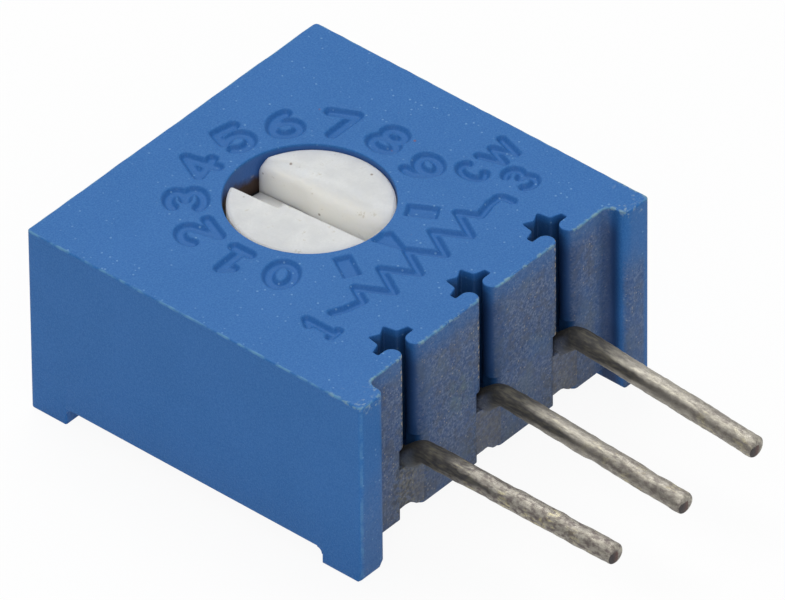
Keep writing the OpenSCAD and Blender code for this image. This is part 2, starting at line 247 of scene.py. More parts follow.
NINE = [bow(0, 0.2, 0.45, 0.3, 0, 360, 26), line((0.45, 0.2), bow(-0.35, 0.15, 0.8, 0.65, 0, -75))]
SIGNS = {
    "0": [bow(0, 0, 0.42, 0.5, 0, 360, 28)],
    "1": [line((-0.3, 0.28), (0.02, 0.5), (0.02, -0.5)), line((-0.3, -0.5), (0.34, -0.5))],
    "2": [line(bow(0, 0.2, 0.43, 0.3, 155, -30), (-0.45, -0.5), (0.47, -0.5))],
    "3": [line(bow(-0.03, 0.26, 0.42, 0.24, 150, -90), bow(-0.03, -0.24, 0.48, 0.26, 90, -150))],
    "4": [line((0.2, -0.5), (0.2, 0.5), (-0.48, -0.2), (0.5, -0.2))],
    "5": [line((0.4, 0.5), (-0.32, 0.5), (-0.4, 0.03), bow(0, -0.17, 0.45, 0.33, 140, -145))],
    "6": [-part for part in NINE],
    "7": [line((-0.45, 0.5), (0.45, 0.5), (-0.12, -0.5))],
    "8": [bow(0, 0.27, 0.35, 0.23, 0, 360, 24), bow(0, -0.23, 0.45, 0.27, 0, 360, 24)],
    "9": NINE,
    "C": [bow(0, 0, 0.5, 0.5, 52, 308)],
    "W": [line((-0.5, 0.5), (-0.26, -0.5), (0, 0.4), (0.26, -0.5), (0.5, 0.5))],
}


def placed(sign, centre, wide, high, turn=0.0):
    """The strokes of a sign, scaled to its width and height, turned by degrees and moved to its centre."""
    a = np.radians(turn)
    way = np.array([[np.cos(a), np.sin(a)], [-np.sin(a), np.cos(a)]])
    return [(part * [wide, high]) @ way + centre for part in SIGNS[sign]]


def at_angle(radius, angle):
    """A plan point at a radius and an angle in degrees about the rotor's axis."""
    return AXIS + radius * np.array([np.cos(np.radians(angle)), np.sin(np.radians(angle))])


# %% Where the marks stand
DIAL_R, DIAL_FROM, DIAL_SWEEP = 2.67, -152, -233
dial = [part for k in range(10) for angle in [DIAL_FROM + DIAL_SWEEP * k / 9]
        for part in placed(str(k), at_angle(DIAL_R, angle), 0.66, 0.76, angle - 90)]
teeth = line(*[(-1.68 + 0.4225 * k, -1.94 - 0.74 * (k % 2)) for k in range(9)])
resistor = line((-2.64, -2.13), (-2.38, -2.26), (-1.92, -2.37), teeth, (1.95, -2.38), (2.42, -2.27),
                bow(2.62, -2.42, 0.14, 0.15, 110, -10, 5), (2.77, -2.58))
terminals = (placed("1", (-3.17, -2.24), 0.42, 0.78) + placed("3", (3.49, -2.2), 0.46, 0.72)
             + placed("C", (3.0, -1.25), 0.42, 0.62) + placed("W", (3.88, -1.29), 0.76, 0.56))
STROKES = [(part, 0.235) for part in dial] + [(resistor, 0.17)] + [(part, 0.175) for part in terminals]
stroke_a = np.concatenate([part[:-1] for part, _ in STROKES])
stroke_b = np.concatenate([part[1:] for part, _ in STROKES])
stroke_half = np.concatenate([np.full(len(part) - 1, width / 2) for part, width in STROKES])
BAR_TURNS, BAR_NEAR, BAR_FAR, BAR_W = (-120, -60), 2.14, 2.82, 0.37
bar_corners = [(BAR_NEAR, -BAR_W / 2), (BAR_FAR, -BAR_W / 2), (BAR_FAR, BAR_W / 2), (BAR_NEAR, BAR_W / 2)]
bars = [[at_angle(np.hypot(r, side), turn + np.degrees(np.arctan2(side, r))) for r, side in bar_corners]
        for turn in BAR_TURNS]
arrow = [(0.01, -1.95), (0.27, -1.3), (0.13, -1.16), (-0.22, -1.16)]
PLATES = [np.array(corners) for corners in bars + [arrow]]
print("strokes, plates:", len(STROKES), len(PLATES))

# %% [markdown]
# The top is a height field over the plan. Its depth is the marks' depth times a smooth step of the distance
# to the nearest stroke. A fine lattice of points lies where a mark's wall falls, and a coarse one elsewhere,
# so the triangles go where the shape is.

# %% Depth of the marks
MARK_DEPTH, MARK_SLOPE = 0.1, 0.13


def smooth_step(value):
    """0 below 0, 1 above 1 and three squares less two cubes between."""
    share = np.clip(value, 0, 1)
    return share * share * (3 - 2 * share)


def ripple(points, size, seed, waves=10):
    """Smooth seeded noise of about unit height: a sum of sines with random ways and phases, size across."""
    draw = np.random.default_rng(seed)
    ways = draw.normal(size=(waves, points.shape[1])) * 2 / size
    return np.sin(points @ ways.T + draw.uniform(0, 2 * np.pi, waves)).sum(1) * np.sqrt(2 / waves)


def to_marks(points):
    """Distance in the plan from each point to the edge of the nearest mark, below zero inside it."""
    nearest = np.full(len(points), 9.0)
    for a, b, half in zip(stroke_a, stroke_b, stroke_half):
        run = b - a
        share = np.clip((points - a) @ run / max(run @ run, 1e-12), 0, 1)
        nearest = np.minimum(nearest, np.linalg.norm(points - a - share[:, None] * run, axis=1) - half)
    for corners in PLATES:
        side = unit(np.roll(corners, -1, 0) - corners)
        beyond = [(points - corner) @ [along[1], -along[0]] for corner, along in zip(corners, side)]
        nearest = np.minimum(nearest, np.max(beyond, axis=0))
    return nearest


def lattice(step, low, high):
    """Points of a triangular lattice between two plan corners."""
    across, up = np.arange(low[0], high[0], step), np.arange(low[1], high[1], step * np.sqrt(0.75))
    x, y = np.meshgrid(across, up)
    x[1::2] += step / 2
    return np.column_stack([x.ravel(), y.ravel()])


def top_points(loops, fine=0.03, coarse=0.16, border=0.07):
    """Lattice points of the top: fine on the walls of the marks, coarse elsewhere, none near a loop."""
    low, high = loops[0].min(0), loops[0].max(0)
    near, far = lattice(fine, low, high), lattice(coarse, low, high)
    near = near[np.abs(to_marks(near)) < MARK_SLOPE / 2 + fine]
    far = far[np.abs(to_marks(far)) > MARK_SLOPE / 2 + 1.3 * fine]
    found = np.concatenate([near, far])
    found = found[inside(found, loops)]
    edge = np.concatenate(loops)
    gap = np.array([np.min(np.abs(edge - point).sum(1)) for point in found])
    return found[gap > border]


def mark_drop(points):
    """How far the top lies below its own level at each plan point."""
    return MARK_DEPTH * smooth_step(0.5 - to_marks(points) / MARK_SLOPE)


# %% [markdown]
# Blocks become one body by boolean unions and cuts, as in the mould: the upper block with its marks, the
# lower one, the feet, and the pocket, chamber and lead channels taken out. The manifold solver keeps closed
# solids closed, and it works in millimetres here, where its tolerances are small beside the part.

# %% Unions, cuts and finished pieces
def raw_object(shape):
    """A helper object in millimetres from points and faces."""
    mesh = bpy.data.meshes.new("helper")
    mesh.from_pydata(shape[0].tolist(), [], shape[1])
    thing = bpy.data.objects.new("helper", mesh)
    bpy.context.scene.collection.objects.link(thing)
    return thing


def combine(base, others, operation):
    """Points and faces of the base with the others joined to it (UNION) or taken away (DIFFERENCE)."""
    things = [raw_object(shape) for shape in [base] + others]
    for other in things[1:]:
        step = things[0].modifiers.new("step", "BOOLEAN")
        step.solver, step.operation, step.object = "MANIFOLD", operation, other
    graph = bpy.context.evaluated_depsgraph_get()
    mesh = bpy.data.meshes.new_from_object(things[0].evaluated_get(graph))
    points = np.empty(len(mesh.vertices) * 3, np.float32)
    mesh.vertices.foreach_get("co", points)
    faces = [list(face.vertices) for face in mesh.polygons]
    for thing in things:
        bpy.data.objects.remove(thing)
    return points.reshape(-1, 3).astype(float), faces


def joined(shapes):
    """Several closed shapes side by side in one list of points and faces."""
    starts = np.cumsum([0] + [len(points) for points, _ in shapes])
    faces = [[int(start) + i for i in face] for start, (_, part) in zip(starts, shapes) for face in part]
    return np.concatenate([points for points, _ in shapes]), faces


def add_piece(name, shape, finish, body, nodes, sharp=50):
    """A finished piece in metres that rides on a CAD body and stands for CAD nodes.

    Edges whose faces turn by more than sharp degrees stay crisp."""
    mesh = bpy.data.meshes.new(name)
    mesh.from_pydata((shape[0] * MM).tolist(), [], shape[1])
    mesh.shade_smooth()
    mesh.set_sharp_from_angle(angle=np.radians(sharp))
    mesh.materials.append(finish)
    thing = bpy.data.objects.new(name, mesh)
    bpy.context.scene.collection.objects.link(thing)
    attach(thing, body)
    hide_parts(*nodes)
    mesh.calc_loop_triangles()
    print(f"{name}: {len(mesh.vertices)} points, {len(mesh.loop_triangles)} triangles")
    return thing


# %% The housing's solid
bore_loop = circle(BORE_R)[::-1]
HOLE_EDGE_R, EASE, BLOCK_Z = 0.03, 0.015, 1.6
star_x, star_y = star_plan.T
in_star = (star_y > FACE_Y + 0.03) & (star_y < POCKET_Y) & (np.abs(star_x) < POCKET_X)
edge_r = np.where(in_star, HOLE_EDGE_R, np.clip(0.036 + 0.01 * ripple(star_plan, 0.5, 3), 0.022, 0.05))
wall_levels = [(0, z) for z in (BLOCK_Z, 2.6, 3.6, TOP - 0.4, TOP - 0.18)]
top_loops = [star_plan - outward(star_plan) * (edge_r + EASE)[:, None],
             bore_loop - outward(bore_loop) * (HOLE_EDGE_R + EASE)]


def brim(radius):
    """The last steps of a top edge: a quarter circle and a narrow level border that eases the shading."""
    steps = [(inset, TOP - drop) for inset, drop in quarter(radius)[::-1]]
    return [(0, TOP - radius - EASE)] + steps + [(radius + EASE, TOP)]


face_points = top_points(top_loops)
upper = block([star_plan, bore_loop],
              [wall_levels + brim(edge_r), [(0, BLOCK_Z), (0, CEILING_Z)] + brim(HOLE_EDGE_R)],
              face_points, TOP - mark_drop(face_points))
print("upper block:", len(upper[0]), "points")

# %% [markdown]
# The walls run into the feet with small fillets. The lower edges of the two front feet are worn round, the
# left foot's most. Both come from one shape, a bar between a square corner and a quarter circle: added it is
# a fillet, and cut away it rounds an edge. A stack of such cuts, wider towards the floor, wears the left
# foot's upright edges. The back feet are left as they were moulded.

# %% Lower block, feet and everything that is hollow
def front_foot(side):
    """A front foot's outline under the left (-1) or right (1) rib: its free corners are the rib's."""
    inner, outer, back = HALF - RIB_W, HALF, -HALF + FRONT_FOOT
    corners = [(inner, back, 0.05), (inner, -HALF, RIB_IN_R), (outer, -HALF, RIB_OUT_R), (outer, back, 0.05)]
    return rounded([(side * x, y, r) for x, y, r in corners[::side]])


def back_foot(side):
    """A back foot's outline in the left (-1) or right (1) corner."""
    inner, outer, front = HALF - RIB_W, HALF, HALF - BACK_FOOT
    corners = [(inner, front, 0.05), (outer, front, 0.05), (outer, HALF, CORNER_R), (inner, HALF, 0.05)]
    return rounded([(side * x, y, r) for x, y, r in corners[::side]])


def channel(x):
    """A lead channel's outline from the face back into the pocket, its mouth flared by two round noses."""
    wide, mouth = CHANNEL_W / 2, CHANNEL_W / 2 + NOSE_R
    right = [(wide, POCKET_Y + 0.2, 0), (wide, FACE_Y, NOSE_R - 0.01),
             (mouth, FACE_Y, 0), (mouth, FACE_Y - 0.2, 0)]
    corners = [(x - dx, y, r) for dx, y, r in right[::-1]] + [(x + dx, y, r) for dx, y, r in right]
    return rounded(corners[::-1])


def rectangle(x0, x1, y0, y1):
    """A rectangle's outline, counterclockwise."""
    return np.array([(x0, y0), (x1, y0), (x1, y1), (x0, y1)], float)


def arc_points(radius, start, stop, count):
    """Points of an arc about the rotor's axis, from one angle to another in degrees."""
    return [at_angle(radius, a) for a in np.linspace(start, stop, count)]


def ring_part(inner, outer, middle, spread, count=12):
    """The outline of a part of a ring about the rotor's axis, spread degrees wide about its middle angle."""
    low, high = middle - spread / 2, middle + spread / 2
    return np.array(arc_points(outer, low, high, count) + arc_points(inner, low, high, count)[::-1])


def corner_bar(corner, ways, radius, ends, order):
    """A bar between a square corner and the quarter circle that touches both its sides.

    Its outline is drawn in the first two axes and turned over where needed to run counterclockwise. The
    circle lies towards the two ways, the bar runs between its ends, and order puts the axes in place."""
    turns = np.radians(np.linspace(0, 90, 9))[:, None]
    arc = corner + radius * np.array(ways) * (1 - np.hstack([np.cos(turns), np.sin(turns)]))
    past = corner - 0.1 * np.array(ways)
    outline = np.vstack([past, (past[0], arc[0, 1]), arc, (arc[-1, 0], past[1])])
    if ways[0] * ways[1] > 0:
        outline = outline[::-1]
    points, faces = slab(outline, *sorted(ends))
    return points[:, order], faces


STOP_R, STOP_SPREAD, STOP_Z = 2.45, 24.5, 3.5
FOOT_FILLET, SOLE_R, WORN_TOP, WORN_STEP = 0.13, 0.13, 0.36, 0.28
WORN_FRONT, WORN_INNER = {-1: 0.33, 1: 0.14}, {-1: 0.55, 1: 0.12}
stop_gap = np.array(arc_points(CHAMBER_R, -90 + STOP_SPREAD / 2, 270 - STOP_SPREAD / 2, 150)
                    + arc_points(STOP_R, 270 - STOP_SPREAD / 2, 270 + STOP_SPREAD / 2, 12))
feet = [slab(plan(side), 0, FOOT_H + 0.3, foot=0.035) for plan in (front_foot, back_foot) for side in (-1, 1)]
for side in (-1, 1):
    across_foot = [side * (HALF - RIB_W + 0.006), side * (HALF - 0.006)]
    for y, way in ((-HALF + FRONT_FOOT, 1), (HALF - BACK_FOOT, -1)):
        feet.append(corner_bar((y, FOOT_H), (way, -1), FOOT_FILLET, across_foot, [2, 0, 1]))
lower = slab(plain_plan, FOOT_H, THROAT_Z, foot=0.05)
hollows = [slab(rectangle(-POCKET_X, POCKET_X, POCKET_Y, POCKET_X), -1, 2.71),
           slab(circle(CHAMBER_R), SUBSTRATE_Z, STOP_Z), slab(stop_gap, STOP_Z - 0.1, CEILING_Z)]
hollows += [slab(channel(x), -1, CHANNEL_Z) for x in LEAD_X]
along_foot = [-HALF - 0.1, -HALF + FRONT_FOOT + 0.1]
for side in (-1, 1):
    past_foot = [side * (HALF - RIB_W - 0.1), side * (HALF + 0.1)]
    hollows.append(corner_bar((-HALF, 0), (1, 1), WORN_FRONT[side], past_foot, [2, 0, 1]))
    inner_edge = (0, side * (HALF - RIB_W))
    hollows.append(corner_bar(inner_edge, (1, side), WORN_INNER[side], along_foot, [1, 2, 0]))
    hollows.append(corner_bar((0, side * HALF), (1, -side), SOLE_R, along_foot, [1, 2, 0]))
for wear in np.linspace(0.15, 1, 8):
    worn_z = [-0.1, WORN_TOP - WORN_STEP * wear]
    hollows.append(corner_bar((-HALF, -HALF), (1, 1), RIB_OUT_R + 0.2 * wear, worn_z, [0, 1, 2]))
    hollows.append(corner_bar((-HALF + RIB_W, -HALF), (-1, 1), RIB_IN_R + 0.25 * wear, worn_z, [0, 1, 2]))
body = combine(combine(upper, [lower] + feet, "UNION"), hollows, "DIFFERENCE")
print("housing:", len(body[0]), "points")

# %% [markdown]
# The rotor's head is two islands either side of the screwdriver slot. Each island is one closed profile
# carried along the slot: up the slot's wall, over its rounded edge, across the top and down the round side.
# The island on the right has a much softer slot edge than the one on the left, and a shoulder at its back
# lies a little lower. The slot is wider behind a step. The rotor doesn't stand quite on its axis: it has
# moved to one side within the play of its bore, and its stop tab is narrowed to stay clear all the same.

# %% The rotor
ROTOR_TOP, SLOT_Z, NECK_R, FLANGE_R = 4.82, 3.95, 1.845, 3.05
SLOT_STEP, REST_TURN = 0.42, 4
FLANGE_Z, FLANGE_TOP_Z = 3.0, 3.4
PLAY = (0.022, -0.026)


def fall(distance, radius):
    """How far a rounded edge lies below its level at a distance from the wall: a quarter circle's sagitta."""
    near = np.clip(radius - distance, 0, radius)
    return radius - np.sqrt(radius ** 2 - near ** 2)


def island(side, slot_r, rim_r, blur, wide, narrow, dent=0.0, rows=90, steps=9):
    """One half of the rotor's head, left (-1) or right (1) of the slot.

    Row by row, y runs as the neck's radius times a sine. Across a row, x runs from the slot's wall to the
    neck's circle, with points drawn together at both ends, and the top falls by the sagittas of both edges.
    Behind a step that is blur long, the slot is wide instead of narrow and its edge has the second slot_r.
    There a shoulder beside the slot may lie lower by the dent."""
    tips = [-np.arccos((narrow + 0.03) / NECK_R), np.arccos((wide + 0.03) / NECK_R)]
    at_step = np.arcsin(SLOT_STEP / NECK_R) + np.linspace(-0.4, 0.4, 9) * blur
    turns = np.sort(np.concatenate([np.linspace(*tips, rows), at_step]))
    y, outer = NECK_R * np.sin(turns)[:, None], NECK_R * np.cos(turns)[:, None]
    behind = smooth_step((y - SLOT_STEP) / blur + 0.5)
    wall = narrow + (wide - narrow) * behind
    slot_r = slot_r[0] + (slot_r[1] - slot_r[0]) * behind
    room = outer - wall
    bend = 1 - np.sin(np.linspace(0, np.pi / 2, steps))
    at_wall = wall + np.minimum(slot_r, room * 0.45) * bend[::-1]
    at_rim = outer - np.minimum(rim_r * 1.5, room * 0.45) * bend
    between = at_wall[:, -1:] + (at_rim[:, :1] - at_wall[:, -1:]) * np.linspace(0.05, 0.95, 18)
    x = np.hstack([at_wall, between, at_rim])
    worn = smooth_step((0.45 + 0.4 * (1.0 - y) - x + wall) / 0.12 + 0.5) * smooth_step((y - 0.6) / 0.5)
    z = ROTOR_TOP - fall(x - wall, slot_r) - fall(NECK_R - np.hypot(x, y), rim_r) - dent * worn
    low = np.full_like(wall, FLANGE_Z + 0.2)
    x, z = np.hstack([wall, x, outer]), np.hstack([low, z, low])
    grid = np.stack([side * x, np.broadcast_to(y, x.shape), z], -1)
    count, width = x.shape
    index = np.arange(count * width).reshape(count, width)[:, ::side]
    far = np.roll(index, -1, 1)
    faces = np.stack([index[:-1], index[1:], far[1:], far[:-1]], -1).reshape(-1, 4).tolist()
    faces += [index[0].tolist(), index[-1, ::-1].tolist()]
    return grid.reshape(-1, 3) + [*AXIS, 0], faces


def turned(shape, degrees):
    """A shape turned about the rotor's axis."""
    a = np.radians(degrees)
    way = np.array([[np.cos(a), np.sin(a), 0], [-np.sin(a), np.cos(a), 0], [0, 0, 1]])
    return (shape[0] - [*AXIS, 0]) @ way + [*AXIS, 0], shape[1]


POST_X, POST_R, POST_Z = 1.35, 0.18, 2.82
stop_tab = ring_part(STOP_R + 0.05, FLANGE_R - 0.04, 90, STOP_SPREAD - 2.5)
rotor_parts = [slab(circle(NECK_R - 0.015), FLANGE_Z + 0.1, SLOT_Z, edge=0.03),
               slab(stop_tab, FLANGE_TOP_Z - 0.05, CEILING_Z - 0.1),
               island(-1, (0.04, 0.04), 0.09, 0.04, 0.6, 0.395),
               island(1, (0.52, 0.26), 0.09, 0.8, 0.47, 0.39, dent=0.05)]
rotor_parts += [slab(circle(POST_R, AXIS + [side * POST_X, 0], 24), POST_Z, FLANGE_Z + 0.1)
                for side in (-1, 1)]
head = combine(slab(circle(FLANGE_R), FLANGE_Z, FLANGE_TOP_Z, foot=0.04, edge=0.04), rotor_parts, "UNION")
rotor_shape = turned(head, REST_TURN)
rotor_shape = (rotor_shape[0] + [*PLAY, 0], rotor_shape[1])
print("rotor:", len(head[0]), "points")

# %% [markdown]
# A lead is a circle carried along the wire's middle line: level under the element, up a ramp, and out to the
# front with a slight droop. Tinning leaves the wire a little uneven, so its radius wanders by a hundredth of
# a millimetre or two.

# %% The leads
WIRE_R, LEAD_SLOPE, BEND_R, LEAD_RISE = 0.255, 42, 0.45, 0.485
BEND_Y = FACE_Y + 0.39


def wire_route(low, high, droop, step=0.045):
    """The wire's middle line as (y, z) points: a level run, an arc, a ramp, an arc back and a last run."""
    slope, down = np.radians(LEAD_SLOPE), np.radians(droop)
    rise = BEND_R * (1 - np.cos(slope))
    ramp = (LEAD_RISE - 2 * rise) / np.sin(slope)
    up = np.linspace(0, slope, 14)
    over = np.linspace(slope, -down, 18)
    first = np.stack([BEND_Y - BEND_R * np.sin(up), THROAT_Z + BEND_R * (1 - np.cos(up))], 1)
    top = first[-1] + ramp * np.array([-np.cos(slope), np.sin(slope)])
    second = top + BEND_R * np.stack([np.sin(over) - np.sin(slope), np.cos(over) - np.cos(slope)], 1)
    last = (second[-1, 0] - low[1]) / np.cos(down)
    ways = np.arange(step, last, step)[:, None] * [-np.cos(down), -np.sin(down)]
    start = np.stack([np.linspace(high[1], BEND_Y, 20)[:-1], np.full(19, THROAT_Z)], 1)
    return np.concatenate([start, first, second[1:], second[-1] + ways])


TIP_R, TIP_FLAT, TIP_LEAN = 0.1, 0.6, (-0.07, -0.04)


def wire(low, high, droop, seed, sides=48):
    """A lead's points, faces and the share of the full radius at each point.

    Ring point = middle + radius * share * (cos a * across + sin a * up). Over the last stretch the share
    falls as the cosine of a quarter turn, and the middle leans to one side, as the shears left it."""
    yz = wire_route(low, high, droop)
    yz = yz[yz[:, 1] > 0][yz[:, 0] > low[1] + TIP_R + 0.01]
    along = unit(np.gradient(yz, axis=0))
    bevel = np.linspace(0, np.pi / 2, 8)
    shrink = np.concatenate([1 - (1 - TIP_FLAT) * (1 - np.cos(bevel)), [0.6, 0.45, 0.28, 0.1]])
    reach = np.concatenate([TIP_R * np.sin(bevel), TIP_R + np.array([0.002, 0.004, 0.006, 0.007])])
    reach += yz[-1, 0] - low[1] - TIP_R - 0.008
    yz = np.concatenate([yz, yz[-1] + reach[:, None] * along[-1]])
    along = np.concatenate([along, np.repeat(along[-1:], len(reach), 0)])
    share = np.concatenate([np.ones(len(yz) - len(shrink)), shrink])[:, None]
    a = np.arange(sides) * 2 * np.pi / sides
    middle = np.column_stack([np.full(len(yz), (low[0] + high[0]) / 2), yz])
    middle[:, [0, 2]] += np.minimum((1 - share) / (1 - TIP_FLAT), 1) * TIP_LEAN
    up = np.column_stack([np.zeros(len(yz)), along[:, 1], -along[:, 0]])
    rim = np.cos(a)[None, :, None] * np.array([1.0, 0, 0]) + np.sin(a)[None, :, None] * up[:, None, :]
    even = (middle[:, None, :] + WIRE_R * rim).reshape(-1, 3)
    wander = 0.006 * ripple(even, 0.5, seed) + 0.004 * ripple(even, 0.16, seed + 1)
    radius = (WIRE_R - 0.006 + wander.reshape(rim.shape[:2])) * share
    points = middle[:, None, :] + radius[..., None] * rim
    points[:, :, 1] -= 0.1 * (points[:, :, 0] - middle[:1, None, 0]) * (share < 1)
    index = np.arange(points.size // 3).reshape(points.shape[:2])
    near, far = index, np.roll(index, -1, 1)
    faces = np.stack([near[:-1], far[:-1], far[1:], near[1:]], -1).reshape(-1, 4).tolist()
    faces += [index[0, ::-1].tolist(), index[-1].tolist()]
    return points.reshape(-1, 3), faces, np.repeat(share[:, 0], sides)


droops = [np.degrees(np.arcsin(-mounts[f"lead_{k}_pin"]["axis"][2])) for k in (1, 2, 3)]
wires = [wire(*LEADS[k], droops[k], 11 + 7 * k) for k in range(3)]
print("lead points:", [len(points) for points, _, _ in wires])

# %% [markdown]
# The resin that seals the bottom was poured with the part upside down. It climbs a little up every wall and
# sets with a slightly wavy, sandy face. Below each lead it also fills the channel.

# %% The resin
RESIN_Z, RESIN_CLIMB, SMEAR = 0.84, 0.12, 0.14
snug = CHANNEL_W / 2 - 0.004
mouth = [(snug, POCKET_Y, 0), (snug, FACE_Y + 0.035, 0.12), (snug + SMEAR, FACE_Y + 0.03, 0),
         (snug + SMEAR - 0.02, FACE_Y + 0.012, 0)]
resin_front = [(x + side * dx, y, r) for x in LEAD_X for side, part in ((-1, mouth), (1, mouth[::-1]))
               for dx, y, r in part]
IN_X, IN_Y = POCKET_X - 0.004, POCKET_Y + 0.004
resin_back = [(IN_X, IN_Y, 0), (IN_X, IN_X, 0), (-IN_X, IN_X, 0)]
resin_plan = rounded([(-IN_X, IN_Y, 0)] + resin_front + resin_back, 0.1)


def resin_z(points):
    """The resin's face: it climbs the walls as a falling exponential of the distance to them, sags in the
    channels to the right of the leads, and ripples."""
    gap = np.array([np.min(np.hypot(*(resin_plan - point).T)) for point in points])
    climb = RESIN_CLIMB * np.exp(-gap / 0.16)
    beside = points[:, 0] - np.array(LEAD_X)[np.abs(points[:, :1] - LEAD_X).argmin(1)]
    sag = 0.16 * smooth_step((beside + 0.1) / 0.3) * (points[:, 1] < POCKET_Y - 0.02)
    return RESIN_Z - climb - sag + 0.035 * ripple(points, 1.4, 5) + 0.016 * ripple(points, 0.28, 6)


resin_points = lattice(0.12, resin_plan.min(0), resin_plan.max(0))
resin_points = resin_points[inside(resin_points, [resin_plan])]
resin_gap = np.array([np.min(np.abs(resin_plan - point).sum(1)) for point in resin_points])
resin_points = resin_points[resin_gap > 0.07]
upside = [(0, -THROAT_Z), (0, -1.4), (0, -resin_z(resin_plan))]
fill_points, fill_faces = block([resin_plan], [upside], resin_points, -resin_z(resin_points))
resin = joined([(fill_points * [1, 1, -1], [face[::-1] for face in fill_faces]),
                slab(rectangle(-IN_X, IN_X, IN_Y, IN_X), THROAT_Z - 0.1, SUBSTRATE_Z)])
print("resin:", len(resin[0]), "points")

# %% [markdown]
# Every finish is a node tree, but its maths reads better as Python. The class below wraps a socket, so that
# sums and products of values add Math nodes. Patterns are placed in millimetres of the piece's own object
# coordinates, so they stay on it in every pose.

# %% Shader maths as Python expressions
def srgb(red, green, blue):
    """A colour from its display numbers, 0 to 255, with the display's curve undone."""
    share = np.array([red, green, blue]) / 255
    return (*np.where(share > 0.04045, ((share + 0.055) / 1.055) ** 2.4, share / 12.92).tolist(), 1.0)


class Value:
    """A number worked out by a node. Sums, products and ratios of values add Math nodes."""

    def __init__(self, finish, socket):
        self.finish, self.socket = finish, socket

    def maths(self, operation, *terms):
        """A Math node on the terms, in their order."""
        return self.finish.node("Math", {"operation": operation}, dict(enumerate(terms)))

    def __add__(self, other):
        return self.maths("ADD", self, other)

    def __sub__(self, other):
        return self.maths("SUBTRACT", self, other)

    def __rsub__(self, other):
        return self.maths("SUBTRACT", other, self)

    def __mul__(self, other):
        return self.maths("MULTIPLY", self, other)

    def __pow__(self, other):
        return self.maths("POWER", self, other)

    __radd__, __rmul__ = __add__, __mul__

    def size(self):
        """The value without its sign."""
        return self.maths("ABSOLUTE", self)

    def rise(self, low, high):
        """0 where the value is below low, 1 above high, and a smooth step between."""
        limits = {"Value": self, "From Min": low, "From Max": high}
        return self.finish.node("MapRange", {"interpolation_type": "SMOOTHSTEP"}, limits)

    def fade(self, low, high):
        """1 where the value is below low, 0 above high, and a smooth step between."""
        return 1 - self.rise(low, high)

    def between(self, low, high, ease):
        """1 where the value is between low and high, 0 outside, eased over a width."""
        return self.rise(low - ease, low + ease) * self.fade(high - ease, high + ease)


class Finish:
    """A procedural material in the making, with one method for its nodes and short ones for its patterns."""

    def __init__(self, name):
        self.material = bpy.data.materials.new(name)
        self.material.use_nodes = True
        self.tree = self.material.node_tree
        self.shader = self.tree.nodes["Principled BSDF"]
        place = self.node("TexCoord", out="Object")
        self.place = self.node("VectorMath", {"operation": "SCALE"}, {0: place, "Scale": 1 / MM})
        self.x, self.y, self.z = (self.node("SeparateXYZ", {}, {0: self.place}, out=k) for k in range(3))
        facing = self.node("TexCoord", out="Normal")
        self.nx, self.ny, self.nz = (self.node("SeparateXYZ", {}, {0: facing}, out=k) for k in range(3))

    def node(self, kind, settings=None, sockets=None, out=0):
        """Adds a node: its settings first, then the values or links of its sockets. Returns an output."""
        made = self.tree.nodes.new("ShaderNode" + kind)
        for name, value in (settings or {}).items():
            setattr(made, name, value)
        for name, value in (sockets or {}).items():
            self.feed(made.inputs[name], value)
        return Value(self, made.outputs[out])

    def feed(self, socket, value):
        """Links a value into a socket, or sets the socket to a constant."""
        if isinstance(value, Value):
            self.tree.links.new(value.socket, socket)
        else:
            socket.default_value = value

    def blend(self, share, first, second):
        """A colour between two, by a share that may be a value."""
        return self.node("Mix", {"data_type": "RGBA"}, {0: share, 6: first, 7: second}, out=2)

    def stretched(self, x, y, z):
        """The place with each of its axes scaled, for a pattern that is drawn out."""
        return self.node("VectorMath", {"operation": "MULTIPLY"}, {0: self.place, 1: (x, y, z)})

    def noise(self, size, detail=3.0, where=None):
        """Smooth noise from 0 to 1, about that many millimetres across."""
        return self.node("TexNoise", {}, {"Vector": where or self.place, "Scale": 1 / size, "Detail": detail})

    def specks(self, size, share, radius=0.3, blur=0.08):
        """Dots, 1 on a dot and 0 beside it: a share of the cells of a Voronoi pattern holds one each."""
        cells = {"Vector": self.place, "Scale": 1 / size}
        pick = self.node("SeparateColor", {}, {0: self.node("TexVoronoi", {}, cells, out="Color")})
        near = self.node("TexVoronoi", {}, cells, out="Distance")
        return near.fade(radius - blur, radius + blur) * pick.rise(0.99 - share, 1.01 - share)

    def bump(self, height, depth):
        """Tilts the normal by a height from 0 to 1 that stands for a depth in millimetres."""
        self.set(Normal=self.node("Bump", {}, {"Height": height, "Distance": depth * MM, "Strength": 1.0}))

    def set(self, **sockets):
        """Feeds the shader's own sockets. A name's underscores stand for spaces."""
        for name, value in sockets.items():
            self.feed(self.shader.inputs[name.replace("_", " ")], value)

    def attribute(self, name):
        """A number that the mesh carries at each point."""
        return self.node("Attribute", {"attribute_name": name}, out="Fac")


print("shader tools ready")
